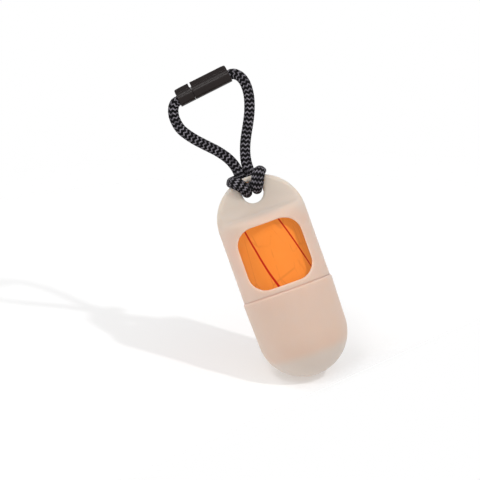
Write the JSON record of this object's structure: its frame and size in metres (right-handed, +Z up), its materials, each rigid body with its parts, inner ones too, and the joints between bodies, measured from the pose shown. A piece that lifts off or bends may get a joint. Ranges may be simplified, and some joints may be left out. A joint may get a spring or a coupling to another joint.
{
  "type": "pet waste bag dispenser",
  "caption": "Soft translucent capsule with a dispensing window and pull-off lower cup, holding a roll of bags and hung from a braided cord loop with a breakaway connector.",
  "frame": {"origin": "The hang point on the underside of the connector, straight above the capsule's axis.", "axes": "+Z runs up along the capsule's axis toward the hang point, the window faces -Y, and +X is to the right as seen from the window side."},
  "size_m": [0.0441, 0.041, 0.1423],
  "materials": {
    "shell": "milky translucent silicone rubber, fine matte skin",
    "cup": "milky translucent silicone rubber, fine matte skin, tinted by the roll behind it",
    "film": "thin orange polyethylene film, soft sheen, creased",
    "core": "brown grey spiral-wound cardboard",
    "cord": "braided polyester, black and grey herringbone",
    "connector": "black moulded plastic with a soft sheen"
  },
  "bodies": {
    "lanyard": {"lanyard_cord": "cord", "connector_socket": "connector"},
    "plug": {"connector_plug": "connector"},
    "capsule": {"upper_shell": "shell"},
    "cup": {"lower_cup": "cup"},
    "roll": {"bag_core": "core", "bag_01": "film", "bag_02": "film", "bag_03": "film", "bag_04": "film", "bag_05": "film", "bag_06": "film", "bag_07": "film", "bag_08": "film", "bag_09": "film", "bag_10": "film", "bag_11": "film", "bag_12": "film", "bag_13": "film", "bag_14": "film", "bag_15": "film"}
  },
  "joints": [
    {"name": "capsule_swing", "type": "hinge", "parent": "lanyard", "child": "capsule", "pos_m": [0, 0.0047, -0.0385], "axis": [1, 0, 0], "range_deg": [-75, 75], "deforming": ["lanyard_cord"]},
    {"name": "cup_pull", "type": "slide", "parent": "capsule", "child": "cup", "axis": [0, 0, -1], "range_m": [0, 0.04]},
    {"name": "roll_turn", "type": "hinge", "parent": "cup", "child": "roll", "pos_m": [0, 0, -0.0925], "axis": [0, 0, 1], "continuous": true},
    {"name": "plug_release", "type": "slide", "parent": "lanyard", "child": "plug", "axis": [-0.9921, 0, -0.1253], "range_m": [0, 0.012], "deforming": ["lanyard_cord"]}
  ]
}
